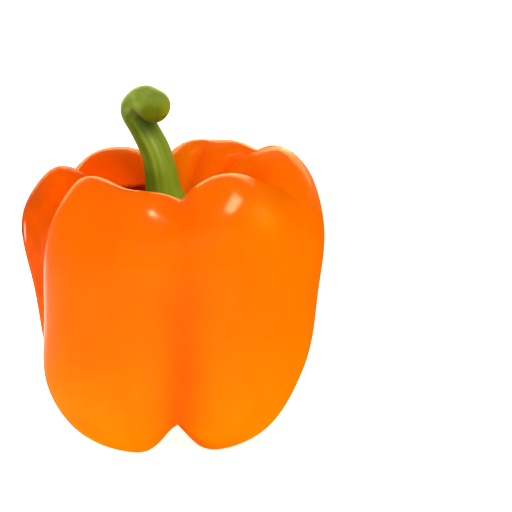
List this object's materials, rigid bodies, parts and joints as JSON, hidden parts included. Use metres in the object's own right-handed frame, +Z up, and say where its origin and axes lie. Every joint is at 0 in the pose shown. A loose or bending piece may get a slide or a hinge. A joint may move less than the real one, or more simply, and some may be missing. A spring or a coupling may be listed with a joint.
{
  "type": "bell pepper",
  "caption": "Blocky bell pepper standing upright on its lobed blossom end, with a hooked green stem rising from the hollow of its crown.",
  "frame": {"origin": "centre of the bounding box on the ground plane, under the blossom end", "axes": "+Z up from the blossom end to the stem; the pictured side faces -Y and the hook of the stem points to +X and -Y"},
  "size_m": [0.0896, 0.0848, 0.106],
  "materials": {
    "skin": "smooth waxy orange skin with soft highlights",
    "stem": "satin green plant stem with fine long ridges and an olive rounded end"
  },
  "bodies": {
    "root": {"fruit": "skin", "stem": "stem"}
  },
  "joints": []
}
